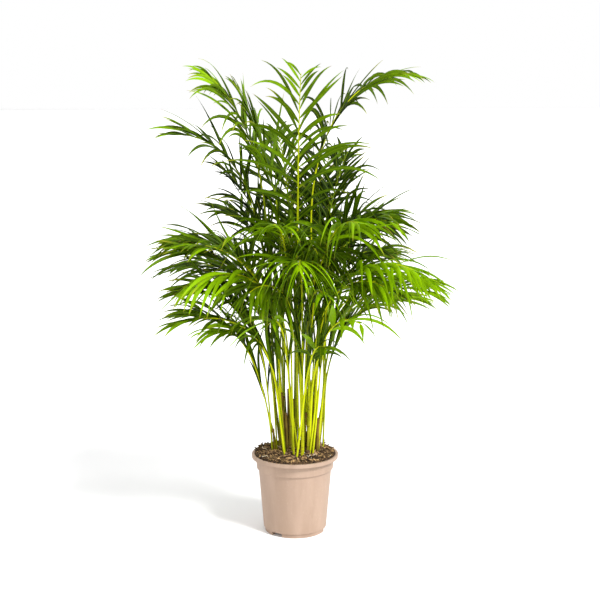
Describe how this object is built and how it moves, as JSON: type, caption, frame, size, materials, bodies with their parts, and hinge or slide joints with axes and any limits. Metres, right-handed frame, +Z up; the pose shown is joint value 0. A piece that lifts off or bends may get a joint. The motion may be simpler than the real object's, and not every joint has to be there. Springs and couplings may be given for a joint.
{
  "type": "potted palm",
  "caption": "Areca-type palm with thin yellow-green canes and arching feather fronds, growing from soil in a taupe plastic nursery pot with a rolled rim.",
  "frame": {"origin": "on the floor under the middle of the plant's box, which is the pot's axis to within a few millimetres", "axes": "+Z up along the pot's axis; -Y is the plant's front"},
  "size_m": [0.7261, 0.7478, 1.1498],
  "materials": {
    "pot_plastic": "matte taupe recycled polypropylene, finely speckled",
    "soil": "rough peat and bark potting mix",
    "cane": "satin living stem, yellow-green with brown flecks",
    "leaf_lime": "satin living leaf, fresh lime",
    "leaf_green": "satin living leaf, mid green",
    "leaf_deep": "satin living leaf, deep green"
  },
  "bodies": {
    "root": {"cane_01": "cane", "cane_02": "cane", "cane_03": "cane", "cane_04": "cane", "cane_05": "cane", "cane_06": "cane", "cane_07": "cane", "cane_08": "cane", "cane_09": "cane", "cane_10": "cane", "cane_11": "cane", "cane_12": "cane", "cane_13": "cane", "cane_14": "cane", "cane_15": "cane", "cane_16": "cane", "frond_back_left": "leaf_green", "frond_back_middle": "leaf_deep", "frond_back_right": "leaf_deep", "frond_bright_left": "leaf_lime", "frond_bright_right": "leaf_lime", "frond_broad_front": "leaf_lime", "frond_broad_low": "leaf_green", "frond_broad_middle": "leaf_lime", "frond_crown_centre": "leaf_lime", "frond_crown_left": "leaf_lime", "frond_crown_right": "leaf_green", "frond_dark_left": "leaf_deep", "frond_droop_right": "leaf_lime", "frond_fan_left": "leaf_deep", "frond_fan_right": "leaf_green", "frond_far_left": "leaf_green", "frond_front_hang": "leaf_lime", "frond_front_high": "leaf_green", "frond_front_left": "leaf_green", "frond_front_right": "leaf_green", "frond_hang_left": "leaf_green", "frond_hang_middle": "leaf_green", "frond_hang_right": "leaf_green", "frond_inner_back": "leaf_deep", "frond_inner_left": "leaf_lime", "frond_inner_right": "leaf_deep", "frond_long_right": "leaf_green", "frond_low_left": "leaf_green", "frond_low_right": "leaf_green", "frond_lowest_left": "leaf_green", "frond_middle_right": "leaf_deep", "frond_rear_high": "leaf_deep", "frond_rear_left": "leaf_deep", "frond_rear_right": "leaf_deep", "frond_rear_side": "leaf_deep", "frond_short_right": "leaf_lime", "frond_shoulder_left": "leaf_deep", "frond_shoulder_right": "leaf_deep", "frond_side_left": "leaf_green", "frond_side_right": "leaf_green", "frond_thin_left": "leaf_green", "frond_upper_left": "leaf_green", "pot": "pot_plastic", "potting_soil": "soil"}
  },
  "joints": []
}
